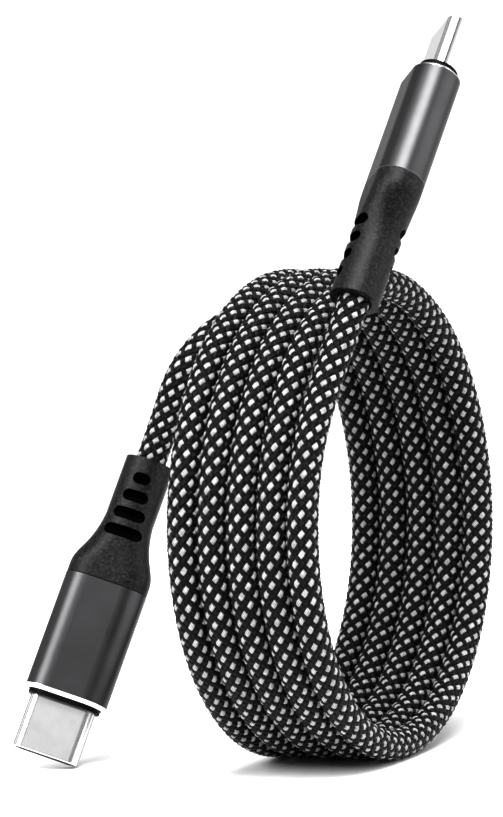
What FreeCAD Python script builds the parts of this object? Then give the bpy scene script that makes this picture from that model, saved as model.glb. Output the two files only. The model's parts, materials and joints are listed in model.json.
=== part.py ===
"""Braided USB-C to USB-C charging cable, wound as a coil of five turns that stands on edge.

Millimetres, +Z up, standing on z = 0.  The coil's axis is along X.  Connector A rises from the near
side of the coil and points up; connector B hangs down in front of it and rests on its plug's corner.
Each connector is modelled along its own +Z, from the boot (negative z) to the plug's tip (positive z),
with z = 0 at the housing's front rim, X across its width and Y across its thickness.
"""
import FreeCAD, Part
import math
import os

import Sketcher
from FreeCAD import Placement, Rotation, Vector

SIZES = {
    # cable and coil
    "cable_dia": 3.7,
    "coil_radius": 27.5,
    "strand_pitch": 3.8,
    "coil_turns": 5,
    "steps_per_turn": 16,
    "coil_centre_x": 9.41,
    # gap in the coil's band beside boot A, where the outermost turn has already left it
    "gap_face": 7.2, "gap_angle": 50, "gap_middle": 26,
    # boot end of each connector, before the shift by coil_centre_x, and the connector's direction
    "a_boot_x": 10.2, "a_boot_y": -14.3, "a_boot_z": 55.6,
    "a_lean": 36.4, "a_heading": 80.5, "a_twist": -131.2,
    "b_boot_x": -24.5, "b_boot_y": -0.4, "b_boot_z": 35.35,
    "b_lean": 152.6, "b_heading": -117.6, "b_twist": 40.8,
    # plug
    "plug_wide": 8.25, "plug_thick": 2.40, "plug_wall": 0.25, "plug_out": 7.25, "plug_root": 5.5,
    "plug_lip": 0.15,
    "carrier_front": 6.95, "cavity_wide": 6.9, "cavity_thick": 1.3, "cavity_floor": 0.9,
    "contact_wide": 0.25, "contact_thick": 0.15, "contact_gap": 1.0, "contact_pitch": 0.5,
    "contact_count": 12, "contact_front": 6.2, "contact_back": 6.5, "channel_play": 0.02,
    "latch_face": 3.35, "latch_thick": 0.20, "latch_tall": 0.80, "latch_back": 3.0, "latch_front": 5.2,
    "hook_reach": 0.15, "hook_long": 0.7,
    "pocket_face": 3.20, "pocket_tall": 0.92, "pocket_back": 3.2, "pocket_front": 6.5,
    "spring_wide": 6.0, "spring_face": 0.82, "spring_thick": 0.10, "spring_root": 4.7,
    "spring_base": 0.4, "finger_long": 1.2, "finger_wide": 1.6, "finger_pitch": 2.2,
    "recess_play": 0.02,
    # collar, housing and shield
    "collar_wide": 9.1, "collar_thick": 4.7, "collar_out": 0.6, "collar_back": 3.0, "collar_play": 0.05,
    "housing_wide": 10.3, "housing_thick": 5.9, "housing_long": 15.0, "housing_wall": 0.5,
    "rim_chamfer": 0.45, "rear_chamfer": 0.12,
    "shield_wide": 9.0, "shield_thick": 4.6, "shield_wall": 0.2, "shield_back": 12.5,
    "shield_front": 3.2, "shield_split": 0.05,
    # paddle board
    "board_wide": 7.6, "board_thick": 1.0, "board_back": 12.0, "board_front": 5.5,
    "chip_wide": 2.0, "chip_long": 2.0, "chip_tall": 0.5, "chip_back": 9.6,
    "passive_wide": 0.5, "passive_long": 0.3, "passive_tall": 0.3, "passive_back": 8.5,
    "passive_pitch": 1.2, "passive_count": 4,
    # boot
    "boot_long": 15.8, "boot_thick": 5.9, "neck_wide": 6.0, "neck_long": 7.6,
    "tenon_wide": 9.2, "tenon_thick": 4.8, "tenon_long": 1.6,
    "slot_first": 2.63, "slot_pitch": 2.29, "slot_tall": 1.45, "slot_deep": 1.0,
    "slot_wide_0": 2.2, "slot_wide_1": 3.2, "slot_wide_2": 3.95, "slot_wide_3": 4.8,
    "mouth_bevel": 0.35,
    "crimp_dia": 4.3, "crimp_back": 19.0, "cable_stop": 17.0,
    # wires inside the connector
    "wire_dia": 0.8, "wire_pad_y": 0.95, "wire_start": 10.6, "wire_bend": 12.2, "wire_meet": 15.2,
    "wire_circle": 0.85,
}

# Boot outline ahead of the round neck: distance from the boot's end and full width there.
FLARE = [(9.2, 6.5), (10.8, 7.4), (12.4, 8.8), (13.6, 9.85), (14.6, 10.2), (15.8, 10.2)]

# The cable's route off the coil, before the shift by coil_centre_x.
TAIL_A = [(10.2, -14.3, 55.6), (9.5, -18.4, 50.0)]
TAIL_B = [
    (-12.4, 13.7, 52.9), (-16.9, 7.3, 52.2), (-21.0, 2.7, 47.15),
    (-23.5, 1.6, 39.65), (-24.5, -0.4, 35.35),
]
FIRST_COIL_STEP = 3
LAST_COIL_STEP = 78

# Name, across position of the board pad, board face and angle on the bundle's circle.
WIRES = [
    ("wire_vbus", -1.8, 1, 162),
    ("wire_ground", 0.0, 1, 90),
    ("wire_cc", 1.8, 1, 18),
    ("wire_data_minus", 0.9, -1, 306),
    ("wire_data_plus", -0.9, -1, 234),
]

RUN_SHARE = 0.45

# How far a tail's tube follows the coil's helix beyond its last control point, as a share of a step.
OVERLAP_SHARE = 0.75

doc = FreeCAD.newDocument("charging_cable")
sizes = doc.addObject("Spreadsheet::Sheet", "sizes")
for row, (alias, number) in enumerate(SIZES.items(), start=1):
    sizes.set(f"A{row}", alias)
    sizes.set(f"B{row}", str(number))
    sizes.setAlias(f"B{row}", alias)
doc.recompute()

pieces = []


def size(alias):
    """A driving size, read back from the sheet."""
    return float(sizes.get(alias))


def value(expression):
    """The number that an expression over the sheet's cells has now."""
    return float(sizes.evalExpression(expression))


# ---------------------------------------------------------------- sketches and features

def new_body(label, place):
    """A PartDesign body that is one sub-part, in its connector's frame."""
    body = doc.addObject("PartDesign::Body", label)
    body.Label = label
    body.AllowCompound = True
    body.Placement = place
    pieces.append(body)
    return body


def origin_feature(body, role):
    """One of the body's own origin planes or axes."""
    return next(item for item in body.Origin.OriginFeatures if item.Role == role)


def new_sketch(body, name, role="XY_Plane", offset=None):
    """A sketch on an origin plane of its own body, moved along the normal by an expression."""
    sketch = body.newObject("Sketcher::SketchObject", f"{body.Name}_{name}")
    sketch.AttachmentSupport = (origin_feature(body, role), [""])
    sketch.MapMode = "FlatFace"
    if offset:
        sketch.setExpression("AttachmentOffset.Base.z", offset)
    return sketch


def drive(sketch, constraint, expression):
    """Bind one dimension of a sketch to the sheet."""
    index = sketch.addConstraint(constraint)
    sketch.renameConstraint(index, f"size_{index}")
    sketch.setExpression(f"Constraints.size_{index}", expression)


def add_circle(sketch, dia):
    """A circle about the sketch's origin."""
    radius = value(dia) / 2
    circle = sketch.addGeometry(Part.Circle(Vector(), Vector(0, 0, 1), radius))
    sketch.addConstraint(Sketcher.Constraint("Coincident", circle, 3, -1, 1))
    drive(sketch, Sketcher.Constraint("Diameter", circle, 2 * radius), dia)


def add_stadium(sketch, wide, thick, up=None):
    """A box with round ends, centred across; its centre is raised by the expression up."""
    radius = value(thick) / 2
    reach = value(wide) / 2 - radius
    rise = value(up) if up else 0
    normal = Vector(0, 0, 1)
    quarter = math.pi / 2
    right = Part.Circle(Vector(reach, rise, 0), normal, radius)
    left = Part.Circle(Vector(-reach, rise, 0), normal, radius)
    first = sketch.addGeometry([
        Part.LineSegment(Vector(-reach, rise + radius, 0), Vector(reach, rise + radius, 0)),
        Part.ArcOfCircle(right, -quarter, quarter),
        Part.LineSegment(Vector(reach, rise - radius, 0), Vector(-reach, rise - radius, 0)),
        Part.ArcOfCircle(left, quarter, 3 * quarter),
    ])[0]
    top, bow, base, stern = range(first, first + 4)
    sketch.addConstraint([
        Sketcher.Constraint("Tangent", top, 2, bow, 2),
        Sketcher.Constraint("Tangent", bow, 1, base, 1),
        Sketcher.Constraint("Tangent", base, 2, stern, 2),
        Sketcher.Constraint("Tangent", stern, 1, top, 1),
        Sketcher.Constraint("Equal", bow, stern),
        Sketcher.Constraint("Symmetric", bow, 3, stern, 3, -2),
    ])
    drive(sketch, Sketcher.Constraint("Radius", bow, radius), f"({thick}) / 2")
    drive(sketch, Sketcher.Constraint("DistanceX", stern, 3, bow, 3, 2 * reach), f"({wide}) - ({thick})")
    if up:
        drive(sketch, Sketcher.Constraint("DistanceY", -1, 1, bow, 3, rise), up)
    else:
        sketch.addConstraint(Sketcher.Constraint("PointOnObject", bow, 3, -1))


def add_rectangle(sketch, left, low, wide, tall):
    """A rectangle from its lower left corner."""
    x, y, across, up = value(left), value(low), value(wide), value(tall)
    corners = [Vector(x, y, 0), Vector(x + across, y, 0), Vector(x + across, y + up, 0), Vector(x, y + up, 0)]
    first = sketch.addGeometry([
        Part.LineSegment(corners[i], corners[(i + 1) % 4]) for i in range(4)
    ])[0]
    for i in range(4):
        sketch.addConstraint(Sketcher.Constraint("Coincident", first + i, 2, first + (i + 1) % 4, 1))
        sketch.addConstraint(Sketcher.Constraint("Vertical" if i % 2 else "Horizontal", first + i))
    drive(sketch, Sketcher.Constraint("DistanceX", first, 1, first, 2, across), wide)
    drive(sketch, Sketcher.Constraint("DistanceY", first + 1, 1, first + 1, 2, up), tall)
    drive(sketch, Sketcher.Constraint("DistanceX", -1, 1, first, 1, x), left)
    drive(sketch, Sketcher.Constraint("DistanceY", -1, 1, first, 1, y), low)


def pad(body, sketch, length, midplane=False):
    """Add material along the sketch's normal."""
    feature = body.newObject("PartDesign::Pad", f"{sketch.Name}_pad")
    feature.Profile = sketch
    feature.Midplane = midplane
    feature.setExpression("Length", length)
    doc.recompute()
    return feature


def pocket(body, sketch, length, forward=True):
    """Cut along the sketch's normal, or against it; the volume has to fall."""
    before = body.Shape.Volume
    feature = body.newObject("PartDesign::Pocket", f"{sketch.Name}_pocket")
    feature.Profile = sketch
    feature.Reversed = forward
    feature.setExpression("Length", length)
    doc.recompute()
    if body.Shape.Volume >= before:
        raise RuntimeError(f"{feature.Name} cuts nothing")
    return feature


def repeat_across(body, feature, pitch, count):
    """Repeat a feature along the body's X axis."""
    pattern = body.newObject("PartDesign::LinearPattern", f"{feature.Name}_row")
    pattern.Originals = [feature]
    pattern.Direction = (origin_feature(body, "X_Axis"), [""])
    pattern.setExpression("Length", f"({pitch}) * ({count} - 1)")
    pattern.setExpression("Occurrences", count)
    body.Tip = pattern
    doc.recompute()
    return pattern


def edges_at(feature, height):
    """Names of the edges that lie wholly at one height of the body's own frame."""
    shape = feature.Shape.copy()
    shape.Placement = Placement()
    flat = []
    for number, edge in enumerate(shape.Edges, start=1):
        box = edge.BoundBox
        if abs(box.ZMin - height) < 1e-4 and abs(box.ZMax - height) < 1e-4:
            flat.append((number, edge))
    return flat


def outer_edges_at(feature, height):
    """Of the edges at a height, the closed outline farther from the centre."""
    flat = edges_at(feature, height)
    reach = max(edge.BoundBox.YMax for _, edge in flat)
    outline = [
        number for number, edge in flat
        if max(edge.BoundBox.YMax, -edge.BoundBox.YMin) > reach - 0.01
    ]
    return [f"Edge{number}" for number in outline]


def inner_edge_at(feature, height):
    """Of the edges at a height, the one nearest to the centre: the bore's circle."""
    spans = {number: edge.BoundBox.YMax - edge.BoundBox.YMin for number, edge in edges_at(feature, height)}
    bore_dia = size("cable_dia")
    number = min(spans, key=lambda item: abs(spans[item] - bore_dia))
    return [f"Edge{number}"]


def bevel(body, feature, edges, expression):
    """Chamfer edges of a feature."""
    chamfer = body.newObject("PartDesign::Chamfer", f"{feature.Name}_bevel{len(body.Group)}")
    chamfer.Base = (feature, edges)
    chamfer.setExpression("Size", expression)
    body.Tip = chamfer
    doc.recompute()
    return chamfer


def round_over(body, feature, edges, expression):
    """Fillet edges of a feature."""
    fillet = body.newObject("PartDesign::Fillet", f"{feature.Name}_round{len(body.Group)}")
    fillet.Base = (feature, edges)
    fillet.setExpression("Radius", expression)
    body.Tip = fillet
    doc.recompute()
    return fillet


# ---------------------------------------------------------------- tubes along a route

def arc_radius(before, corner, after):
    """The largest tangent arc that its two runs allow, and its setback along them."""
    a = corner.sub(before)
    b = after.sub(corner)
    half_turn = a.getAngle(b) / 2
    setback = RUN_SHARE * min(a.Length, b.Length)
    return setback / math.tan(half_turn), setback


def route_wire(points):
    """Straight runs joined by tangent arcs, with the arcs' radii."""
    edges = []
    radii = []
    start = points[0]
    for before, corner, after in zip(points, points[1:], points[2:]):
        radius, setback = arc_radius(before, corner, after)
        into = corner.sub(before).normalize()
        out = after.sub(corner).normalize()
        entry = corner.sub(into * setback)
        leave = corner.add(out * setback)
        inward = out.sub(into).normalize()
        middle_gap = math.hypot(radius, setback) - radius
        middle = corner.add(inward * middle_gap)
        edges.append(Part.LineSegment(start, entry).toShape())
        edges.append(Part.Arc(entry, middle, leave).toShape())
        radii.append(radius)
        start = leave
    edges.append(Part.LineSegment(start, points[-1]).toShape())
    return Part.Wire(edges), radii


def tube(label, points, dia, place=Placement()):
    """A round tube along a route, as a sub-part of its own."""
    wire, radii = route_wire(points)
    direction = points[1].sub(points[0])
    section = Part.Wire([Part.Circle(points[0], direction, dia / 2).toShape()])
    solid = wire.makePipeShell([section], True, False)
    expected = math.pi * dia * dia / 4 * wire.Length
    if abs(solid.Volume / expected - 1) > 0.01:
        raise RuntimeError(f"{label}: tube volume {solid.Volume:.2f}, expected {expected:.2f}")
    feature = doc.addObject("Part::Feature", label)
    feature.Label = label
    feature.Shape = solid
    feature.Placement = place
    pieces.append(feature)
    print(f"{label}: length {wire.Length:.1f} mm, radii " + ", ".join(f"{radius:.1f}" for radius in radii))


# ---------------------------------------------------------------- plug

def plug_shell(side, place):
    """Drawn steel tube with round ends and a rounded lip, open at both ends."""
    body = new_body(f"plug_shell_{side}", place)
    outline = new_sketch(body, "outline", offset="-sizes.plug_root")
    add_stadium(outline, "sizes.plug_wide", "sizes.plug_thick")
    shell = pad(body, outline, "sizes.plug_root + sizes.plug_out")
    lip = round_over(body, shell, outer_edges_at(shell, size("plug_out")), "sizes.plug_lip")
    mouth = new_sketch(body, "mouth", offset="-sizes.plug_root")
    add_stadium(mouth, "sizes.plug_wide - 2 * sizes.plug_wall", "sizes.plug_thick - 2 * sizes.plug_wall")
    body.Tip = lip
    pocket(body, mouth, "sizes.plug_root + sizes.plug_out + 1")


def contact_carrier(side, place):
    """Insulating core that fills the shell, with the mouth's cavity, channels and pockets."""
    body = new_body(f"contact_carrier_{side}", place)
    outline = new_sketch(body, "outline", offset="-sizes.plug_root")
    add_stadium(outline, "sizes.plug_wide - 2 * sizes.plug_wall", "sizes.plug_thick - 2 * sizes.plug_wall")
    pad(body, outline, "sizes.plug_root + sizes.carrier_front")
    cavity = new_sketch(body, "cavity", offset="sizes.cavity_floor")
    add_rectangle(
        cavity, "-sizes.cavity_wide / 2", "-sizes.cavity_thick / 2",
        "sizes.cavity_wide", "sizes.cavity_thick",
    )
    pocket(body, cavity, "sizes.carrier_front - sizes.cavity_floor + 1")
    wide = "sizes.contact_wide + 2 * sizes.channel_play"
    thick = "sizes.contact_thick + 2 * sizes.channel_play"
    left = (
        "-sizes.contact_pitch * (sizes.contact_count - 1) / 2"
        " - sizes.contact_wide / 2 - sizes.channel_play"
    )
    for name, low in (
        ("upper", "sizes.contact_gap / 2 - sizes.channel_play"),
        ("lower", "-sizes.contact_gap / 2 - sizes.contact_thick - sizes.channel_play"),
    ):
        channel = new_sketch(body, f"{name}_channel", offset="-sizes.plug_root - 0.5")
        add_rectangle(channel, left, low, wide, thick)
        cut = pocket(body, channel, "sizes.plug_root + sizes.cavity_floor + 0.6")
        repeat_across(body, cut, "sizes.contact_pitch", "sizes.contact_count")
    for name, edge in (("right", "sizes.pocket_face"), ("left", "-sizes.plug_wide / 2")):
        bay = new_sketch(body, f"{name}_bay", offset="-sizes.pocket_back")
        add_rectangle(
            bay, edge, "-sizes.pocket_tall / 2",
            "sizes.plug_wide / 2 - sizes.pocket_face", "sizes.pocket_tall",
        )
        pocket(body, bay, "sizes.pocket_back + sizes.pocket_front")
    for name, low in (
        ("upper", "sizes.spring_face - sizes.recess_play"),
        ("lower", "-sizes.plug_thick / 2"),
    ):
        recess = new_sketch(body, f"{name}_recess", offset="sizes.spring_root - sizes.recess_play")
        add_rectangle(
            recess, "-sizes.spring_wide / 2 - sizes.recess_play", low,
            "sizes.spring_wide + 2 * sizes.recess_play",
            "sizes.plug_thick / 2 - sizes.spring_face + sizes.recess_play",
        )
        pocket(body, recess, "sizes.spring_base + sizes.finger_long + 2 * sizes.recess_play")


def contacts(side, place, row, low):
    """One row of twelve flat spring contacts, from the board to the plug's mouth."""
    body = new_body(f"{row}_contacts_{side}", place)
    strip = new_sketch(body, "strip", offset="-sizes.contact_back")
    left = "-sizes.contact_pitch * (sizes.contact_count - 1) / 2 - sizes.contact_wide / 2"
    add_rectangle(strip, left, low, "sizes.contact_wide", "sizes.contact_thick")
    first = pad(body, strip, "sizes.contact_back + sizes.contact_front")
    repeat_across(body, first, "sizes.contact_pitch", "sizes.contact_count")


def latch(side, place, hand, sign):
    """Side spring with a hook at its front end that holds the socket's tongue."""
    body = new_body(f"latch_{hand}_{side}", place)
    arm = new_sketch(body, "arm", offset="-sizes.latch_back")
    arm_left = "sizes.latch_face" if sign > 0 else "-sizes.latch_face - sizes.latch_thick"
    add_rectangle(arm, arm_left, "-sizes.latch_tall / 2", "sizes.latch_thick", "sizes.latch_tall")
    pad(body, arm, "sizes.latch_back + sizes.latch_front")
    hook = new_sketch(body, "hook", offset="sizes.latch_front - sizes.hook_long")
    hook_left = "sizes.latch_face - sizes.hook_reach" if sign > 0 else "-sizes.latch_face"
    add_rectangle(hook, hook_left, "-sizes.latch_tall / 2", "sizes.hook_reach", "sizes.latch_tall")
    pad(body, hook, "sizes.hook_long")


def ground_spring(side, place, row, low):
    """Thin earthing spring inside the mouth: a root strip with three fingers."""
    body = new_body(f"ground_spring_{row}_{side}", place)
    root = new_sketch(body, "root", offset="sizes.spring_root")
    add_rectangle(root, "-sizes.spring_wide / 2", low, "sizes.spring_wide", "sizes.spring_thick")
    pad(body, root, "sizes.spring_base")
    finger = new_sketch(body, "finger", offset="sizes.spring_root + sizes.spring_base")
    add_rectangle(
        finger, "-sizes.finger_pitch - sizes.finger_wide / 2", low,
        "sizes.finger_wide", "sizes.spring_thick",
    )
    first = pad(body, finger, "sizes.finger_long")
    repeat_across(body, first, "sizes.finger_pitch", "3")


# ---------------------------------------------------------------- housing and its inside

def front_collar(side, place):
    """Black plastic collar that closes the housing's front round the plug."""
    body = new_body(f"front_collar_{side}", place)
    outline = new_sketch(body, "outline", offset="-sizes.collar_back")
    add_stadium(outline, "sizes.collar_wide", "sizes.collar_thick")
    block = pad(body, outline, "sizes.collar_back + sizes.collar_out")
    front = bevel(body, block, outer_edges_at(block, size("collar_out")), "sizes.rear_chamfer")
    hole = new_sketch(body, "hole", offset="-sizes.collar_back")
    add_stadium(hole, "sizes.plug_wide + 2 * sizes.collar_play", "sizes.plug_thick + 2 * sizes.collar_play")
    body.Tip = front
    pocket(body, hole, "sizes.collar_back + sizes.collar_out + 1")


def housing(side, place):
    """Aluminium sleeve with a wide bright chamfer at the front and a fine one at the back."""
    body = new_body(f"housing_{side}", place)
    outline = new_sketch(body, "outline", offset="-sizes.housing_long")
    add_stadium(outline, "sizes.housing_wide", "sizes.housing_thick")
    block = pad(body, outline, "sizes.housing_long")
    rim = bevel(body, block, outer_edges_at(block, 0), "sizes.rim_chamfer")
    rear = bevel(body, rim, outer_edges_at(rim, -size("housing_long")), "sizes.rear_chamfer")
    bore = new_sketch(body, "bore", offset="-sizes.housing_long")
    add_stadium(
        bore, "sizes.housing_wide - 2 * sizes.housing_wall", "sizes.housing_thick - 2 * sizes.housing_wall"
    )
    body.Tip = rear
    pocket(body, bore, "sizes.housing_long + 1")


def shield(side, place, row, low):
    """Half of the folded steel shield round the board."""
    body = new_body(f"shield_{row}_{side}", place)
    outline = new_sketch(body, "outline", offset="-sizes.shield_back")
    add_stadium(outline, "sizes.shield_wide", "sizes.shield_thick")
    pad(body, outline, "sizes.shield_back - sizes.shield_front")
    bore = new_sketch(body, "bore", offset="-sizes.shield_back")
    add_stadium(
        bore, "sizes.shield_wide - 2 * sizes.shield_wall", "sizes.shield_thick - 2 * sizes.shield_wall"
    )
    pocket(body, bore, "sizes.shield_back - sizes.shield_front")
    half = new_sketch(body, "half", offset="-sizes.shield_back")
    add_rectangle(
        half, "-sizes.shield_wide / 2", low, "sizes.shield_wide",
        "sizes.shield_thick / 2 + sizes.shield_split",
    )
    pocket(body, half, "sizes.shield_back - sizes.shield_front")


def paddle_board(side, place):
    """Small circuit board between the contacts and the wires."""
    body = new_body(f"paddle_board_{side}", place)
    outline = new_sketch(body, "outline", offset="-sizes.board_back")
    add_rectangle(
        outline, "-sizes.board_wide / 2", "-sizes.board_thick / 2",
        "sizes.board_wide", "sizes.board_thick",
    )
    pad(body, outline, "sizes.board_back - sizes.board_front")


def marker_chip(side, place):
    """The chip that tells the charger what current the cable carries."""
    body = new_body(f"marker_chip_{side}", place)
    outline = new_sketch(body, "outline", offset="-sizes.chip_back")
    add_rectangle(
        outline, "-sizes.chip_wide / 2", "sizes.board_thick / 2",
        "sizes.chip_wide", "sizes.chip_tall",
    )
    pad(body, outline, "sizes.chip_long")


def board_passives(side, place):
    """A row of small capacitors and resistors under the board."""
    body = new_body(f"board_passives_{side}", place)
    outline = new_sketch(body, "outline", offset="-sizes.passive_back")
    add_rectangle(
        outline, "-sizes.passive_pitch * (sizes.passive_count - 1) / 2 - sizes.passive_wide / 2",
        "-sizes.board_thick / 2 - sizes.passive_tall", "sizes.passive_wide", "sizes.passive_tall",
    )
    first = pad(body, outline, "sizes.passive_long")
    repeat_across(body, first, "sizes.passive_pitch", "sizes.passive_count")


# ---------------------------------------------------------------- boot, crimp and wires

def strain_relief(side, place):
    """Rubber boot: a round neck that flares to the housing's width, with slots on both faces."""
    body = new_body(f"strain_relief_{side}", place)
    end = "-sizes.housing_long - sizes.boot_long"
    neck = new_sketch(body, "neck", offset=end)
    add_stadium(neck, "sizes.neck_wide", "sizes.boot_thick")
    pad(body, neck, "sizes.neck_long")
    sections = []
    for number, (along, wide) in enumerate([(size("neck_long"), size("neck_wide"))] + FLARE):
        section = new_sketch(body, f"section{number}", offset=f"{end} + {along}")
        add_stadium(section, f"{wide}", "sizes.boot_thick")
        sections.append(section)
    flare = body.newObject("PartDesign::AdditiveLoft", f"{body.Name}_flare")
    flare.Profile = sections[0]
    flare.Sections = sections[1:]
    doc.recompute()
    tenon = new_sketch(body, "tenon", offset="-sizes.housing_long")
    add_stadium(tenon, "sizes.tenon_wide", "sizes.tenon_thick")
    pad(body, tenon, "sizes.tenon_long")
    for face, depth, forward in (
        ("near", "sizes.boot_thick / 2 - sizes.slot_deep", True),
        ("far", "sizes.slot_deep - sizes.boot_thick / 2", False),
    ):
        slots = new_sketch(body, f"{face}_slots", "XZ_Plane", depth)
        for number in range(4):
            add_stadium(
                slots, f"sizes.slot_wide_{number}", "sizes.slot_tall",
                up=f"{end} + sizes.slot_first + {number} * sizes.slot_pitch",
            )
        pocket(body, slots, "2 * sizes.slot_deep", forward)
    bore = new_sketch(body, "bore", offset=end)
    add_circle(bore, "sizes.cable_dia")
    pocket(body, bore, "sizes.boot_long + sizes.tenon_long")
    seat = new_sketch(body, "crimp_seat", offset="-sizes.crimp_back")
    add_circle(seat, "sizes.crimp_dia")
    seated = pocket(body, seat, "sizes.crimp_back - sizes.housing_long + sizes.tenon_long + 1")
    mouth = inner_edge_at(seated, -size("housing_long") - size("boot_long"))
    bevel(body, seated, mouth, "sizes.mouth_bevel")


def crimp_ring(side, place):
    """Metal ring that clamps the braid to the shield inside the boot."""
    body = new_body(f"crimp_ring_{side}", place)
    outline = new_sketch(body, "outline", offset="-sizes.crimp_back")
    add_circle(outline, "sizes.crimp_dia")
    pad(body, outline, "sizes.crimp_back - sizes.cable_stop")
    bore = new_sketch(body, "bore", offset="-sizes.crimp_back")
    add_circle(bore, "sizes.cable_dia")
    pocket(body, bore, "sizes.crimp_back - sizes.cable_stop")


def cable_end(side, place):
    """The cable's last stretch, held inside the boot."""
    body = new_body(f"cable_end_{side}", place)
    outline = new_sketch(body, "outline", offset="-sizes.housing_long - sizes.boot_long")
    add_circle(outline, "sizes.cable_dia")
    pad(body, outline, "sizes.housing_long + sizes.boot_long - sizes.cable_stop")


def wires(side, place):
    """Five insulated wires from the cable's end to pads at the back of the board."""
    for name, across, face, angle in WIRES:
        turn = math.radians(angle)
        ring_x = size("wire_circle") * math.cos(turn)
        ring_y = size("wire_circle") * math.sin(turn)
        pad_y = face * size("wire_pad_y")
        points = [
            Vector(across, pad_y, -size("wire_start")),
            Vector(across, pad_y, -size("wire_bend")),
            Vector(ring_x, ring_y, -size("wire_meet")),
            Vector(ring_x, ring_y, -size("cable_stop")),
        ]
        tube(f"{name}_{side}", points, size("wire_dia"), place)


# ---------------------------------------------------------------- cable

def shifted(point):
    """A point of the route moved so that the whole part is centred over the origin."""
    return Vector(*point) + Vector(size("coil_centre_x"), 0, 0)


def coil_point(step):
    """Control point of the coil's helix: its sides touch the centreline halfway."""
    steps = size("steps_per_turn")
    turn = 2 * math.pi * step / steps
    reach = size("coil_radius") / math.cos(math.pi / steps)
    across = size("strand_pitch") * (size("coil_turns") / 2 - step / steps)
    centre_z = size("coil_radius") + size("cable_dia") / 2
    return (across, -reach * math.sin(turn), centre_z + reach * math.cos(turn))


def part_way(one, other, share):
    """The point at a share of the way from one point of the route to another."""
    return tuple(a + (b - a) * share for a, b in zip(one, other))


def cord_coil():
    """Outer shape of the coil: a round-edged band, less the end turn where it leaves for boot A."""
    place = Placement(shifted((0, 0, size("coil_radius") + size("cable_dia") / 2)), Rotation())
    body = new_body("cord_coil", place)
    band = new_sketch(body, "band")
    add_stadium(
        band, "sizes.coil_turns * sizes.strand_pitch + sizes.cable_dia", "sizes.cable_dia",
        up="sizes.coil_radius",
    )
    ring = body.newObject("PartDesign::Revolution", "cord_coil_ring")
    ring.Profile = band
    ring.ReferenceAxis = (band, ["H_Axis"])
    ring.Angle = 360
    doc.recompute()
    whole = body.Shape.Volume
    gap = new_sketch(body, "gap")
    tilt = 90 + size("gap_middle")
    gap.AttachmentOffset = Placement(Vector(), Rotation(Vector(1, 0, 0), tilt))
    add_rectangle(
        gap, "sizes.gap_face", "sizes.coil_radius - sizes.cable_dia",
        "sizes.coil_turns * sizes.strand_pitch", "2 * sizes.cable_dia",
    )
    groove = body.newObject("PartDesign::Groove", "cord_coil_gap")
    groove.Profile = gap
    groove.ReferenceAxis = (gap, ["H_Axis"])
    groove.Midplane = True
    groove.setExpression("Angle", "sizes.gap_angle")
    doc.recompute()
    if body.Shape.Volume >= whole:
        raise RuntimeError("the coil's gap cuts nothing")


def cord_tails():
    """The stretches between the coil and each boot."""
    join = coil_point(FIRST_COIL_STEP)
    inside = part_way(join, coil_point(FIRST_COIL_STEP + 1), OVERLAP_SHARE)
    tail_a = [*TAIL_A, join, inside]
    tube("cord_tail_a", [shifted(point) for point in tail_a], size("cable_dia"))
    join = coil_point(LAST_COIL_STEP)
    inside = part_way(join, coil_point(LAST_COIL_STEP - 1), OVERLAP_SHARE)
    tail_b = [inside, join, *TAIL_B]
    tube("cord_tail_b", [shifted(point) for point in tail_b], size("cable_dia"))


# ---------------------------------------------------------------- whole object

def connector_place(side):
    """Where a connector's front rim is, and which way the connector points."""
    turn = Rotation(Vector(0, 0, 1), size(f"{side}_heading"))
    lean = Rotation(Vector(0, 1, 0), size(f"{side}_lean"))
    twist = Rotation(Vector(0, 0, 1), size(f"{side}_twist"))
    rotation = turn * lean * twist
    boot_end = shifted(tuple(size(f"{side}_boot_{axis}") for axis in "xyz"))
    rim = boot_end + rotation * Vector(0, 0, size("housing_long") + size("boot_long"))
    return Placement(rim, rotation)


def connector(side):
    """All the pieces of one end, from the plug's tip to the boot."""
    place = connector_place(side)
    plug_shell(side, place)
    contact_carrier(side, place)
    contacts(side, place, "upper", "sizes.contact_gap / 2")
    contacts(side, place, "lower", "-sizes.contact_gap / 2 - sizes.contact_thick")
    latch(side, place, "left", -1)
    latch(side, place, "right", 1)
    ground_spring(side, place, "upper", "sizes.spring_face")
    ground_spring(side, place, "lower", "-sizes.spring_face - sizes.spring_thick")
    front_collar(side, place)
    housing(side, place)
    shield(side, place, "upper", "-sizes.shield_thick / 2")
    shield(side, place, "lower", "-sizes.shield_split")
    paddle_board(side, place)
    marker_chip(side, place)
    board_passives(side, place)
    strain_relief(side, place)
    crimp_ring(side, place)
    cable_end(side, place)
    wires(side, place)


def check_document():
    """Stop before anything is written if a feature or a sub-part failed."""
    doc.recompute()
    for item in doc.Objects:
        if "Invalid" in item.State or "Error" in item.State:
            raise RuntimeError(f"{item.Name}: {item.State}")
    for piece in pieces:
        if piece.Shape.isNull() or not piece.Shape.isValid() or piece.Shape.Volume <= 0:
            raise RuntimeError(f"{piece.Label}: bad shape")


def write_parts():
    """One STEP file for each sub-part, and the whole part's box."""
    os.makedirs("parts", exist_ok=True)
    whole = FreeCAD.BoundBox()
    for piece in pieces:
        piece.Shape.exportStep(f"parts/{piece.Label}.step")
        whole.add(piece.Shape.optimalBoundingBox(False))
    print(f"{len(pieces)} sub-parts")
    print(f"x {whole.XMin:.3f} to {whole.XMax:.3f}, y {whole.YMin:.3f} to {whole.YMax:.3f}, "
          f"z {whole.ZMin:.3f} to {whole.ZMax:.3f}")


connector("a")
connector("b")
cord_coil()
cord_tails()
check_document()
write_parts()
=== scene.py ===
"""Looks of the braided USB-C charging cable: camera, lights, woven cable and connector finishes."""
import json
import math

import bpy
import numpy as np
from mathutils import Matrix, Vector


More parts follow.
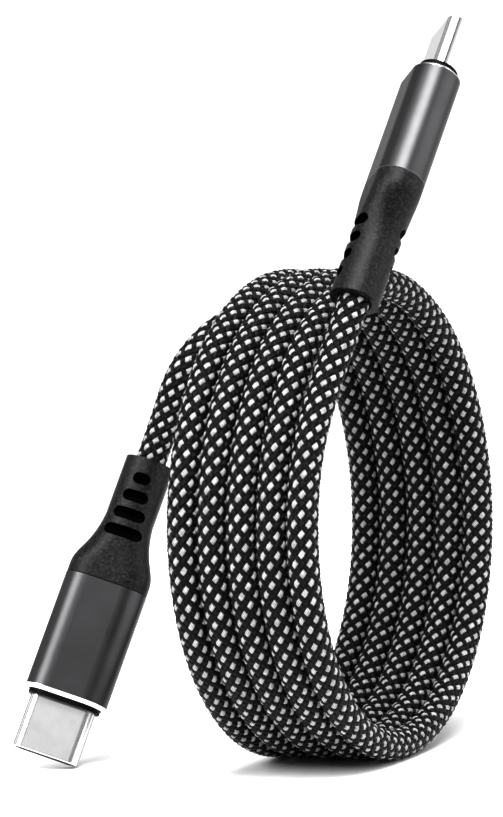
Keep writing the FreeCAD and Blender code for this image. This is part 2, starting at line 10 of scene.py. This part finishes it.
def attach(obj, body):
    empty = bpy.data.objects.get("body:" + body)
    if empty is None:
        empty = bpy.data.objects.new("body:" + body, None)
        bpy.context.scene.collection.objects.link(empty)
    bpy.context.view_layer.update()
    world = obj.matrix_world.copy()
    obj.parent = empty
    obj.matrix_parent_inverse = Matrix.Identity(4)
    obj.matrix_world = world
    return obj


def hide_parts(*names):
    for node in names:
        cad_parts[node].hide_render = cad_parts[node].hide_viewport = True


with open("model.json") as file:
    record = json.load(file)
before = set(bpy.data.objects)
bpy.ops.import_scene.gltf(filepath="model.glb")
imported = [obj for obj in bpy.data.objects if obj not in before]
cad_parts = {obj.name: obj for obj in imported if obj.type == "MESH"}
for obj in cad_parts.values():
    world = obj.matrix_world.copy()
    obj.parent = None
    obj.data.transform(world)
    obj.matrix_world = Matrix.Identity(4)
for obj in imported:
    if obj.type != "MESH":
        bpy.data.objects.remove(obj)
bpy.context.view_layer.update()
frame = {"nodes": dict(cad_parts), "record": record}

MM = 0.001

# ---------------------------------------------------------------- the cable's route, as in the CAD model

CABLE_DIA = 3.7 * MM
COIL_RADIUS = 27.5 * MM
STRAND_PITCH = 3.8 * MM
COIL_TURNS = 5
STEPS_PER_TURN = 16
COIL_CENTRE_X = 9.41 * MM
FIRST_COIL_STEP = 3
LAST_COIL_STEP = 78
TAIL_A = [(0.0102, -0.0143, 0.0556), (0.0095, -0.0184, 0.0500)]
TAIL_B = [
    (-0.0124, 0.0137, 0.0529), (-0.0169, 0.0073, 0.0522), (-0.0210, 0.0027, 0.04715),
    (-0.0235, 0.0016, 0.03965), (-0.0245, -0.0004, 0.03535),
]

# ---------------------------------------------------------------- braid

YARNS_EACH_WAY = 12
LAY = 12.9 * MM
YARN_RADIUS = 1.68 * MM
YARN_WAVE = 0.10 * MM
YARN_CROWN = 0.11 * MM
YARN_DEPTH = 0.10 * MM
# Half of a yarn's width, where 1 is the spacing between yarns that run the same way.
YARN_HALF_WIDTH = 0.47
# A yarn's flattened section: places across it, then how much each has of the crown and of the depth.
SECTION_ACROSS = np.array([-1, -0.55, 0, 0.55, 1, 0])
SECTION_CROWN = np.array([0, 0.8, 1, 0.8, 0, 0])
SECTION_DEPTH = np.array([0, 0, 0, 0, 0, 1])
CORE_RADIUS = 1.56 * MM
BRAID_SECTIONS = 5
SAMPLES_PER_CROSSING = 2
BRAID_INTO_BOOT = 0.8 * MM


def coil_point(step):
    """A control point of the coil, a little outside it, since the spline touches each side halfway."""
    turn = 2 * math.pi * step / STEPS_PER_TURN
    reach = COIL_RADIUS / math.cos(math.pi / STEPS_PER_TURN)
    across = STRAND_PITCH * (COIL_TURNS / 2 - step / STEPS_PER_TURN)
    return (across, -reach * math.sin(turn), COIL_RADIUS + CABLE_DIA / 2 + reach * math.cos(turn))


def route_points():
    """The route's control points from connector A's boot to connector B's."""
    coil = [coil_point(step) for step in range(FIRST_COIL_STEP, LAST_COIL_STEP + 1)]
    return [Vector(point) + Vector((COIL_CENTRE_X, 0, 0)) for point in [*TAIL_A, *coil, *TAIL_B]]


def add_object(name, data, body="cable"):
    """Put new data in the scene as a piece that rides on a body."""
    piece = bpy.data.objects.new(name, data)
    bpy.context.scene.collection.objects.link(piece)
    if body:
        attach(piece, body)
    return piece


def route_curve(name, radius):
    """One open NURBS spline along the route, a tube if it is given a radius."""
    curve = bpy.data.curves.new(name, "CURVE")
    curve.dimensions = "3D"
    curve.resolution_u = 24
    points = route_points()
    spline = curve.splines.new("NURBS")
    spline.points.add(len(points) - 1)
    for point, place in zip(spline.points, points):
        point.co = (*place, 1)
        point.radius = radius
    spline.order_u = 3
    spline.use_endpoint_u = True
    # Each point's own radius multiplies the bevel's depth, so the depth is 1 or there is no tube.
    curve.bevel_depth = 1.0 if radius else 0.0
    curve.bevel_resolution = 6
    return curve


# ---------------------------------------------------------------- camera

CAMERA_AZIMUTH = 26.1
CAMERA_ELEVATION = 4.5
CAMERA_ROLL = -2.6
CAMERA_DISTANCE = 0.540
CAMERA_LENS = 197.2
CAMERA_TARGET = Vector((COIL_CENTRE_X - 10.6 * MM, 0, 42.0 * MM))
CAMERA_NEAR = 0.01
CAMERA_FAR = 20


def towards(azimuth, elevation):
    """The direction from the object to somewhere round it: azimuth 0 is the front, 90 the right side."""
    turn, rise = math.radians(azimuth), math.radians(elevation)
    return Vector((math.sin(turn) * math.cos(rise), -math.cos(turn) * math.cos(rise), math.sin(rise)))


def add_camera():
    """Long-lens camera at the photograph's angle."""
    turn, roll = math.radians(CAMERA_AZIMUTH), math.radians(CAMERA_ROLL)
    back = towards(CAMERA_AZIMUTH, CAMERA_ELEVATION)
    right = Vector((math.cos(turn), math.sin(turn), 0))
    up = back.cross(right)
    rolled_right = right * math.cos(roll) + up * math.sin(roll)
    rolled_up = up * math.cos(roll) - right * math.sin(roll)
    data = bpy.data.cameras.new("camera")
    data.lens = CAMERA_LENS
    data.clip_start = CAMERA_NEAR
    data.clip_end = CAMERA_FAR
    camera = bpy.data.objects.new("camera", data)
    bpy.context.scene.collection.objects.link(camera)
    turned = Matrix((rolled_right, rolled_up, back)).transposed().to_4x4()
    camera.matrix_world = Matrix.Translation(CAMERA_TARGET + back * CAMERA_DISTANCE) @ turned
    bpy.context.scene.camera = camera


add_camera()

# ---------------------------------------------------------------- core of the cable

core = add_object("cable_core", route_curve("cable_core", CORE_RADIUS))
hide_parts("cord_coil", "cord_tail_a", "cord_tail_b")


def centreline():
    """Points along the route's spline, carried a little way into each boot."""
    plain = bpy.data.objects.new("route", route_curve("route", 0))
    mesh = bpy.data.meshes.new_from_object(plain)
    points = np.empty(len(mesh.vertices) * 3)
    mesh.vertices.foreach_get("co", points)
    bpy.data.objects.remove(plain)
    bpy.data.meshes.remove(mesh)
    points = points.reshape(-1, 3)
    first = points[0] + unit(points[0] - points[1]) * BRAID_INTO_BOOT
    last = points[-1] + unit(points[-1] - points[-2]) * BRAID_INTO_BOOT
    return np.vstack([first, points, last])


def unit(vector):
    """A vector, or each row of an array of them, at length one."""
    return vector / np.linalg.norm(vector, axis=-1, keepdims=True)


class Route:
    """The centreline with a frame that doesn't twist about it."""

    def __init__(self, points):
        steps = np.linalg.norm(np.diff(points, axis=0), axis=1)
        self.along = np.concatenate([[0], np.cumsum(steps)])
        self.length = self.along[-1]
        self.points = points
        self.tangents = unit(np.gradient(points, self.along, axis=0))
        sides = [unit(np.cross(self.tangents[0], (0, 0, 1)))]
        for tangent in self.tangents[1:]:
            side = sides[-1] - tangent * np.dot(sides[-1], tangent)
            sides.append(unit(side))
        self.sides = np.array(sides)

    def surface(self, along, angle, radius):
        """Points at a distance along the cable, an angle about it and a radius from its centre."""
        def read(table):
            columns = [np.interp(along, self.along, table[:, axis]) for axis in range(3)]
            return np.stack(columns, axis=-1)
        centre = read(self.points)
        tangent = unit(read(self.tangents))
        side = read(self.sides)
        side = unit(side - tangent * np.sum(side * tangent, axis=-1, keepdims=True))
        other = np.cross(tangent, side)
        outward = side * np.cos(angle)[..., None] + other * np.sin(angle)[..., None]
        return centre + outward * radius[..., None]


def yarn_grid(route, number, hand, start, end):
    """Points of one yarn between two crossings: rows along it, columns round its flattened section.

    A yarn keeps its own number and crosses the other way's yarns one after another, over and under in
    turn. Its own number and the crossed one together give the place along the cable and about it.
    """
    rows = np.arange(start * SAMPLES_PER_CROSSING, end * SAMPLES_PER_CROSSING + 1) / SAMPLES_PER_CROSSING
    own, crossed = np.broadcast_arrays(
        number + SECTION_ACROSS * YARN_HALF_WIDTH, number + hand * rows[:, None])
    along = (crossed - own) * hand * LAY / (2 * YARNS_EACH_WAY)
    angle = math.pi * (own + crossed) / YARNS_EACH_WAY
    wave = hand * YARN_WAVE * np.cos(math.pi * (crossed - number))
    radius = YARN_RADIUS + wave + SECTION_CROWN * YARN_CROWN - SECTION_DEPTH * YARN_DEPTH
    return route.surface(along, angle, radius)


def tube_mesh(name, grids):
    """A mesh of open tubes, each a grid whose columns close on themselves.

    Its UV map runs round each tube from 0 to 1, and along it by 1 for each crossing.
    """
    faces = []
    vertices = []
    maps = []
    offset = 0
    for grid in grids:
        rows, columns = grid.shape[:2]
        index = offset + np.arange(rows * columns).reshape(rows, columns)
        after = np.roll(index, -1, axis=1)
        faces.append(np.stack([index[:-1], after[:-1], after[1:], index[1:]], axis=-1).reshape(-1, 4))
        vertices.append(grid.reshape(-1, 3))
        row = np.repeat(np.arange(rows - 1), columns)
        column = np.tile(np.arange(columns), rows - 1)
        corners = [
            np.stack([(column + right) / columns, (row + up) / SAMPLES_PER_CROSSING], axis=-1)
            for right, up in ((0, 0), (1, 0), (1, 1), (0, 1))
        ]
        maps.append(np.stack(corners, axis=1).reshape(-1, 2))
        offset += rows * columns
    vertices = np.vstack(vertices)
    faces = np.vstack(faces)
    mesh = bpy.data.meshes.new(name)
    mesh.vertices.add(len(vertices))
    mesh.vertices.foreach_set("co", vertices.ravel())
    mesh.loops.add(faces.size)
    mesh.loops.foreach_set("vertex_index", faces.ravel())
    mesh.polygons.add(len(faces))
    mesh.polygons.foreach_set("loop_start", np.arange(0, faces.size, 4))
    mesh.polygons.foreach_set("use_smooth", np.ones(len(faces), dtype=bool))
    mesh.update(calc_edges=True)
    mesh.uv_layers.new(name="yarn").data.foreach_set("uv", np.vstack(maps).ravel())
    mesh.validate()
    return mesh


def add_braid(light_yarn, dark_yarn):
    """Every yarn of the braid, in sections along the cable and apart by colour.

    Every other yarn of one hand is light. The dark ones are three times as many, so they are two pieces.
    """
    route = Route(centreline())
    crossings = int(route.length / LAY * 2 * YARNS_EACH_WAY)
    bounds = np.linspace(0, crossings, BRAID_SECTIONS + 1).astype(int)
    for section in range(BRAID_SECTIONS):
        light = []
        dark = []
        for number in range(YARNS_EACH_WAY):
            for hand in (1, -1):
                grid = yarn_grid(route, number, hand, bounds[section], bounds[section + 1])
                group = light if hand == 1 and number % 2 == 0 else dark
                group.append(grid)
        half = len(dark) // 2
        for name, part, grids, material in (
            ("light", 1, light, light_yarn),
            ("dark", 1, dark[:half], dark_yarn),
            ("dark", 2, dark[half:], dark_yarn),
        ):
            label = f"braid_{name}_{section + 1}_{part}"
            piece = add_object(label, tube_mesh(label, grids))
            piece.data.materials.append(material)


# ---------------------------------------------------------------- material tools

def new_material(name, **sockets):
    """A Principled material with constant values set on its own sockets."""
    material = bpy.data.materials.new(name)
    material.use_nodes = True
    shader = material.node_tree.nodes["Principled BSDF"]
    for socket, number in sockets.items():
        shader.inputs[socket.replace("_", " ")].default_value = number
    return material, material.node_tree, shader


def add_node(tree, kind, **inputs):
    """A node with some of its inputs set."""
    made = tree.nodes.new(kind)
    for name, number in inputs.items():
        made.inputs[name.replace("_", " ")].default_value = number
    return made


def object_place(tree):
    """The surface point in the row's frame."""
    return tree.nodes.new("ShaderNodeTexCoord").outputs["Object"]


def math_node(tree, operation, first, second=0.0):
    """A maths node over sockets or numbers."""
    made = tree.nodes.new("ShaderNodeMath")
    made.operation = operation
    for slot, number in enumerate((first, second)):
        if isinstance(number, bpy.types.NodeSocket):
            tree.links.new(number, made.inputs[slot])
        else:
            made.inputs[slot].default_value = number
    return made.outputs[0]


def noise(tree, scale, detail=3.0, roughness=0.5):
    """Object-space noise."""
    texture = add_node(tree, "ShaderNodeTexNoise", Scale=scale, Detail=detail, Roughness=roughness)
    tree.links.new(object_place(tree), texture.inputs["Vector"])
    return texture.outputs["Fac"]


def ramp(tree, factor, *stops):
    """Two colours at two positions, blended between."""
    made = tree.nodes.new("ShaderNodeValToRGB")
    for element, (position, colour) in zip(made.color_ramp.elements, stops):
        element.position = position
        element.color = (*colour, 1)
    tree.links.new(factor, made.inputs["Fac"])
    return made.outputs["Color"]


def grey(level):
    """A neutral colour."""
    return (level, level, level)


def bump(tree, shader, height, strength, distance):
    """Fine relief from a height."""
    made = add_node(tree, "ShaderNodeBump", Strength=strength, Distance=distance)
    tree.links.new(height, made.inputs["Height"])
    tree.links.new(made.outputs["Normal"], shader.inputs["Normal"])


def spread(tree, factor, low, high):
    """A factor from 0 to 1 mapped on to a range."""
    made = add_node(tree, "ShaderNodeMapRange", To_Min=low, To_Max=high)
    tree.links.new(factor, made.inputs["Value"])
    return made.outputs["Result"]


def distance_along(tree, origin, axis):
    """How far the surface point lies from an origin along an axis."""
    away = tree.nodes.new("ShaderNodeVectorMath")
    away.operation = "SUBTRACT"
    away.inputs[1].default_value = origin
    tree.links.new(object_place(tree), away.inputs[0])
    dot = tree.nodes.new("ShaderNodeVectorMath")
    dot.operation = "DOT_PRODUCT"
    dot.inputs[1].default_value = axis
    tree.links.new(away.outputs[0], dot.inputs[0])
    return dot.outputs["Value"]


def off_centre(tree, origin, axis):
    """How far the surface point lies from an origin along an axis, either way."""
    return math_node(tree, "ABSOLUTE", distance_along(tree, origin, axis))


def mix_colour(tree, factor, first, second):
    """The first colour where the factor is 0 and the second where it is 1."""
    made = tree.nodes.new("ShaderNodeMix")
    made.data_type = "RGBA"
    tree.links.new(factor, made.inputs[0])
    for slot, colour in ((6, first), (7, second)):
        if isinstance(colour, bpy.types.NodeSocket):
            tree.links.new(colour, made.inputs[slot])
        else:
            made.inputs[slot].default_value = (*colour, 1)
    return made.outputs[2]


# ---------------------------------------------------------------- braid materials

YARN_ENDS = 6
YARN_TWIST = 0.5 * math.pi
# The grooves' share of the yarn's relief, which also darkens the colour in them as painted shade.
GROOVE_SHARE = 0.22


def yarn_material(name, low, high, rough, specular):
    """Flat bundle of filament ends: grooves along the yarn, coloured darker in them as painted shade, and
    uneven brightness.
    """
    material, tree, shader = new_material(name, Roughness=rough, Specular_IOR_Level=specular)
    mapped = tree.nodes.new("ShaderNodeUVMap")
    mapped.uv_map = "yarn"
    split = tree.nodes.new("ShaderNodeSeparateXYZ")
    tree.links.new(mapped.outputs["UV"], split.inputs[0])
    across = math_node(tree, "MULTIPLY", split.outputs["X"], YARN_ENDS * 2 * math.pi)
    slant = math_node(tree, "MULTIPLY", split.outputs["Y"], YARN_TWIST)
    groove = math_node(tree, "SINE", math_node(tree, "ADD", across, slant))
    patches = noise(tree, 1500.0, 4.0, 0.65)
    relief = math_node(tree, "ADD", math_node(tree, "MULTIPLY", groove, GROOVE_SHARE), patches)
    # Colour and bump share this height, so the colour darkens in each groove: painted shade, over a random
    # mottle.
    tree.links.new(ramp(tree, relief, (0.25, grey(low)), (0.72, grey(high))), shader.inputs["Base Color"])
    bump(tree, shader, relief, 1.0, 0.1 * MM)
    return material


light_yarn = yarn_material("light_yarn", 0.16, 0.58, 0.5, 0.3)
dark_yarn = yarn_material("dark_yarn", 0.0006, 0.004, 0.34, 0.20)
core_material, _, _ = new_material("core_black", Base_Color=(0.004, 0.004, 0.004, 1), Roughness=0.9)
core.data.materials.append(core_material)
add_braid(light_yarn, dark_yarn)

# ---------------------------------------------------------------- connector materials

PLUG_OUT = 7.25 * MM
HOUSING_LONG = 15.0 * MM
BOOT_LONG = 15.8 * MM
# How far from the plug's middle its steel starts to darken as painted shade on the rounded sides, and
# where it is wholly dark.
PLUG_EDGE_SHADE = (3.96 * MM, 4.10 * MM)
FRONT_CHAMFER = 0.45 * MM
REAR_CHAMFER = 0.12 * MM
CHAMFER_PLAY = 0.03 * MM
# An outline just inside the boot's skin: what lies within it is the floor or wall of a slot, which gets
# painted shade.
SKIN_RADIUS = 2.85 * MM
FLARE_START = 7.7 * MM
FLARE_SLOPE = 0.2
SLOTS_START = 1.6 * MM
SLOTS_REACH = 2.6 * MM
# How far roughness strays each way on the plain plastics and metals.
ROUGH_PLAY = 0.06
WIRE_COLOURS = {
    "wire_vbus": (0.45, 0.03, 0.02),
    "wire_ground": (0.02, 0.02, 0.02),
    "wire_cc": (0.03, 0.08, 0.40),
    "wire_data_minus": (0.70, 0.70, 0.68),
    "wire_data_plus": (0.03, 0.30, 0.06),
}

mounts = {mount["name"]: mount for mount in frame["record"]["mounts"]}
joints = {joint["name"]: joint for joint in frame["record"]["behaviour"]["joints"]}


def connector_axis(side):
    """A connector's rim centre and the way its plug points, from the plug's mount."""
    mount = mounts[f"plug_{side}"]
    axis = Vector(mount["axis"]).normalized()
    return Vector(mount["pos_m"]) - axis * PLUG_OUT, axis


def connector_sides(side):
    """Directions across a connector's width and through its thickness, from its left latch's hinge."""
    _, axis = connector_axis(side)
    through = Vector(joints[f"latch_left_{side}_flex"]["axis"]).normalized()
    return through.cross(axis), through


def housing_material(side):
    """Black anodised aluminium with a bright cut chamfer in front and a duller one behind."""
    material, tree, shader = new_material(f"housing_alloy_{side}", Metallic=1.0)
    rim, axis = connector_axis(side)
    ahead = distance_along(tree, rim, axis)
    front = math_node(tree, "GREATER_THAN", ahead, -FRONT_CHAMFER - CHAMFER_PLAY)
    rear = math_node(tree, "LESS_THAN", ahead, -HOUSING_LONG + REAR_CHAMFER + CHAMFER_PLAY)
    grain = noise(tree, 9000.0, 3.0, 0.6)
    cloud = noise(tree, 260.0, 3.0, 0.5)
    body = ramp(tree, cloud, (0.3, (0.074, 0.074, 0.076)), (0.7, (0.088, 0.088, 0.091)))
    edged = mix_colour(tree, rear, body, grey(0.11))
    tree.links.new(mix_colour(tree, front, edged, grey(0.93)), shader.inputs["Base Color"])
    satin = spread(tree, grain, 0.34, 0.42)
    smoother = math_node(tree, "SUBTRACT", 1.0, math_node(tree, "MULTIPLY", front, 0.3))
    tree.links.new(math_node(tree, "MULTIPLY", satin, smoother), shader.inputs["Roughness"])
    bump(tree, shader, grain, 0.06, 0.02 * MM)
    return material


def plug_material(side):
    """Satin steel shell, faintly clouded, with painted shade darkening its rounded sides."""
    material, tree, shader = new_material(f"plug_steel_{side}", Metallic=1.0)
    rim, _ = connector_axis(side)
    across, _ = connector_sides(side)
    cloud = noise(tree, 500.0, 4.0, 0.6)
    flats = ramp(tree, cloud, (0.3, grey(0.78)), (0.7, grey(0.86)))
    # Painted shade: the colour darkens to grey 0.26 towards the plug's rounded sides.
    edge_shade = add_node(tree, "ShaderNodeMapRange", From_Min=PLUG_EDGE_SHADE[0], From_Max=PLUG_EDGE_SHADE[1])
    tree.links.new(off_centre(tree, rim, across), edge_shade.inputs["Value"])
    edge_shaded = mix_colour(tree, edge_shade.outputs["Result"], flats, grey(0.26))
    tree.links.new(edge_shaded, shader.inputs["Base Color"])
    grain = noise(tree, 7000.0, 3.0, 0.6)
    tree.links.new(spread(tree, grain, 0.20, 0.28), shader.inputs["Roughness"])
    bump(tree, shader, grain, 0.08, 0.02 * MM)
    return material


def slot_shade_mask(tree, side):
    """One where the surface lies down in one of the boot's slots, where painted shade goes, and nought on
    its skin.
    """
    rim, axis = connector_axis(side)
    across, through = connector_sides(side)
    from_end = math_node(tree, "ADD", distance_along(tree, rim, axis), HOUSING_LONG + BOOT_LONG)
    flare = math_node(tree, "MULTIPLY", math_node(tree, "SUBTRACT", from_end, FLARE_START), FLARE_SLOPE)
    flat = math_node(tree, "MAXIMUM", flare, 0.0)
    aside = off_centre(tree, rim, across)
    beyond = math_node(tree, "MAXIMUM", math_node(tree, "SUBTRACT", aside, flat), 0.0)
    deep = off_centre(tree, rim, through)
    squares = math_node(
        tree, "ADD", math_node(tree, "MULTIPLY", beyond, beyond), math_node(tree, "MULTIPLY", deep, deep))
    inside = math_node(tree, "LESS_THAN", squares, SKIN_RADIUS ** 2)
    ahead = math_node(tree, "GREATER_THAN", from_end, SLOTS_START)
    near = math_node(tree, "LESS_THAN", aside, SLOTS_REACH)
    return math_node(tree, "MULTIPLY", inside, math_node(tree, "MULTIPLY", ahead, near))


def boot_material(side):
    """Speckled matte black elastomer, with painted shade in its slots: darker colour and almost no
    specular there.
    """
    material, tree, shader = new_material(f"boot_rubber_{side}")
    slot = slot_shade_mask(tree, side)
    grain = noise(tree, 2600.0, 4.0, 0.75)
    outer = ramp(tree, grain, (0.48, grey(0.0003)), (0.64, grey(0.022)))
    # Painted shade: down in the slots the colour turns darker and the specular level drops nearly to
    # nothing.
    tree.links.new(mix_colour(tree, slot, outer, grey(0.0005)), shader.inputs["Base Color"])
    tree.links.new(spread(tree, slot, 0.30, 0.02), shader.inputs["Specular IOR Level"])
    tree.links.new(spread(tree, grain, 0.36, 0.50), shader.inputs["Roughness"])
    bump(tree, shader, grain, 0.5, 0.1 * MM)
    return material


def plastic_material(name, low, high, rough, specular=0.5):
    """Moulded plastic with a slight mottle."""
    material, tree, shader = new_material(name, Specular_IOR_Level=specular)
    grain = noise(tree, 3000.0, 3.0, 0.5)
    tree.links.new(ramp(tree, grain, (0.3, low), (0.7, high)), shader.inputs["Base Color"])
    tree.links.new(spread(tree, grain, rough - ROUGH_PLAY, rough + ROUGH_PLAY), shader.inputs["Roughness"])
    bump(tree, shader, grain, 0.15, 0.03 * MM)
    return material


def metal_material(name, low, high, rough):
    """Thin sheet or plated metal with a slight mottle."""
    material, tree, shader = new_material(name, Metallic=1.0)
    grain = noise(tree, 2500.0, 3.0, 0.5)
    tree.links.new(ramp(tree, grain, (0.3, low), (0.7, high)), shader.inputs["Base Color"])
    tree.links.new(spread(tree, grain, rough - ROUGH_PLAY, rough + ROUGH_PLAY), shader.inputs["Roughness"])
    return material


def finish_nodes(material, *names, sides="ab"):
    """Give CAD nodes their material on both connectors, or on one."""
    for name in names:
        for side in sides:
            for slot in frame["nodes"][f"{name}_{side}"].material_slots:
                slot.material = material


finish_nodes(plastic_material("collar_plastic", grey(0.0005), grey(0.001), 0.45, 0.1), "front_collar")
finish_nodes(plastic_material("core_plastic", grey(0.010), grey(0.018), 0.5), "contact_carrier")
finish_nodes(
    metal_material("contact_gold", (0.70, 0.50, 0.20), (0.86, 0.66, 0.30), 0.25),
    "upper_contacts", "lower_contacts",
)
finish_nodes(
    metal_material("spring_steel", grey(0.60), grey(0.75), 0.3),
    "latch_left", "latch_right", "ground_spring_upper", "ground_spring_lower",
)
finish_nodes(metal_material("shield_steel", grey(0.50), grey(0.62), 0.35), "shield_upper", "shield_lower")
finish_nodes(
    plastic_material("board_laminate", (0.02, 0.10, 0.04), (0.03, 0.14, 0.06), 0.5),
    "paddle_board",
)
finish_nodes(plastic_material("chip_resin", grey(0.010), grey(0.020), 0.5), "marker_chip")
finish_nodes(
    plastic_material("passive_ceramic", (0.30, 0.22, 0.14), (0.40, 0.30, 0.20), 0.5),
    "board_passives",
)
finish_nodes(metal_material("crimp_brass", (0.55, 0.42, 0.18), (0.68, 0.54, 0.26), 0.35), "crimp_ring")
finish_nodes(plastic_material("cable_jacket", grey(0.006), grey(0.010), 0.6), "cable_end")
for wire, colour in WIRE_COLOURS.items():
    paler = tuple(part * 1.2 for part in colour)
    finish_nodes(plastic_material(wire, colour, paler, 0.4), wire)
for side in "ab":
    finish_nodes(plug_material(side), "plug_shell", sides=side)
    finish_nodes(housing_material(side), "housing", sides=side)
    finish_nodes(boot_material(side), "strain_relief", sides=side)

# ---------------------------------------------------------------- floor, light

FLOOR_SIZE = 6.0
# How far from the middle the floor starts to turn into the white backdrop, and where it has.
FLOOR_FADE = (0.12, 0.32)
WHITE = (1, 1, 1, 1)
WALLS = 0.2
LIGHT_DISTANCE = 1.0
LIGHTS_AIM = Vector((0, 0, 0.04))
# Each light's azimuth and elevation in degrees, width and height in metres, and brightness.
SOFTBOXES = {
    "front_card": (24, 28, 0.34, 0.26, 0.62),
    "left_box": (-32, 34, 0.56, 0.45, 9.0),
    "top_box": (26, 58, 0.76, 0.30, 17.0),
    "right_box": (104, 18, 1.30, 0.80, 2.0),
    "far_left_box": (-90, 28, 0.40, 0.50, 0.9),
    "rear_card": (-135, 10, 0.70, 0.45, 0.5),
    "back_box": (165, 38, 0.70, 0.45, 2.0),
    "overhead": (0, 90, 1.20, 1.20, 1.0),
}


def add_floor():
    """Plain pale floor that brightens into the backdrop away from the object."""
    mesh = bpy.data.meshes.new("floor")
    half = FLOOR_SIZE / 2
    corners = [(-half, -half, 0), (half, -half, 0), (half, half, 0), (-half, half, 0)]
    mesh.from_pydata(corners, [], [(0, 1, 2, 3)])
    floor = add_object("floor", mesh, body=None)
    material, tree, shader = new_material(
        "floor_white", Base_Color=(0.93, 0.93, 0.93, 1), Roughness=0.8, Specular_IOR_Level=0.1)
    glow = add_node(tree, "ShaderNodeEmission", Strength=1.0)
    reach = tree.nodes.new("ShaderNodeVectorMath")
    reach.operation = "LENGTH"
    tree.links.new(object_place(tree), reach.inputs[0])
    fade = add_node(tree, "ShaderNodeMapRange", From_Min=FLOOR_FADE[0], From_Max=FLOOR_FADE[1])
    fade.interpolation_type = "SMOOTHSTEP"
    tree.links.new(reach.outputs["Value"], fade.inputs["Value"])
    blend = tree.nodes.new("ShaderNodeMixShader")
    tree.links.new(fade.outputs["Result"], blend.inputs[0])
    tree.links.new(shader.outputs[0], blend.inputs[1])
    tree.links.new(glow.outputs[0], blend.inputs[2])
    tree.links.new(blend.outputs[0], tree.nodes["Material Output"].inputs["Surface"])
    mesh.materials.append(material)


def add_softbox(name, azimuth, elevation, width, height, radiance):
    """A soft rectangular light, aimed at the object from an angle round it."""
    away = towards(azimuth, elevation)
    data = bpy.data.lights.new(name, "AREA")
    data.shape = "RECTANGLE"
    data.size = width
    data.size_y = height
    data.energy = radiance * math.pi * width * height
    light = bpy.data.objects.new(name, data)
    bpy.context.scene.collection.objects.link(light)
    light.location = LIGHTS_AIM + away * LIGHT_DISTANCE
    light.rotation_euler = away.to_track_quat("Z", "Y").to_euler()


def add_world():
    """White backdrop to look at, and pale studio walls to light the object."""
    world = bpy.data.worlds.new("studio")
    world.use_nodes = True
    tree = world.node_tree
    backdrop = tree.nodes["Background"]
    backdrop.inputs["Color"].default_value = WHITE
    backdrop.inputs["Strength"].default_value = 1.0
    walls = add_node(tree, "ShaderNodeBackground", Strength=WALLS)
    walls.inputs["Color"].default_value = WHITE
    seen = tree.nodes.new("ShaderNodeLightPath")
    mixed = tree.nodes.new("ShaderNodeMixShader")
    tree.links.new(seen.outputs["Is Camera Ray"], mixed.inputs[0])
    tree.links.new(walls.outputs[0], mixed.inputs[1])
    tree.links.new(backdrop.outputs[0], mixed.inputs[2])
    tree.links.new(mixed.outputs[0], tree.nodes["World Output"].inputs["Surface"])
    bpy.context.scene.world = world


add_floor()
add_world()
for name, settings in SOFTBOXES.items():
    add_softbox(name, *settings)
view = bpy.context.scene.view_settings
view.view_transform = "Standard"
view.exposure = 0.35
view.gamma = 0.74

bpy.context.view_layer.update()
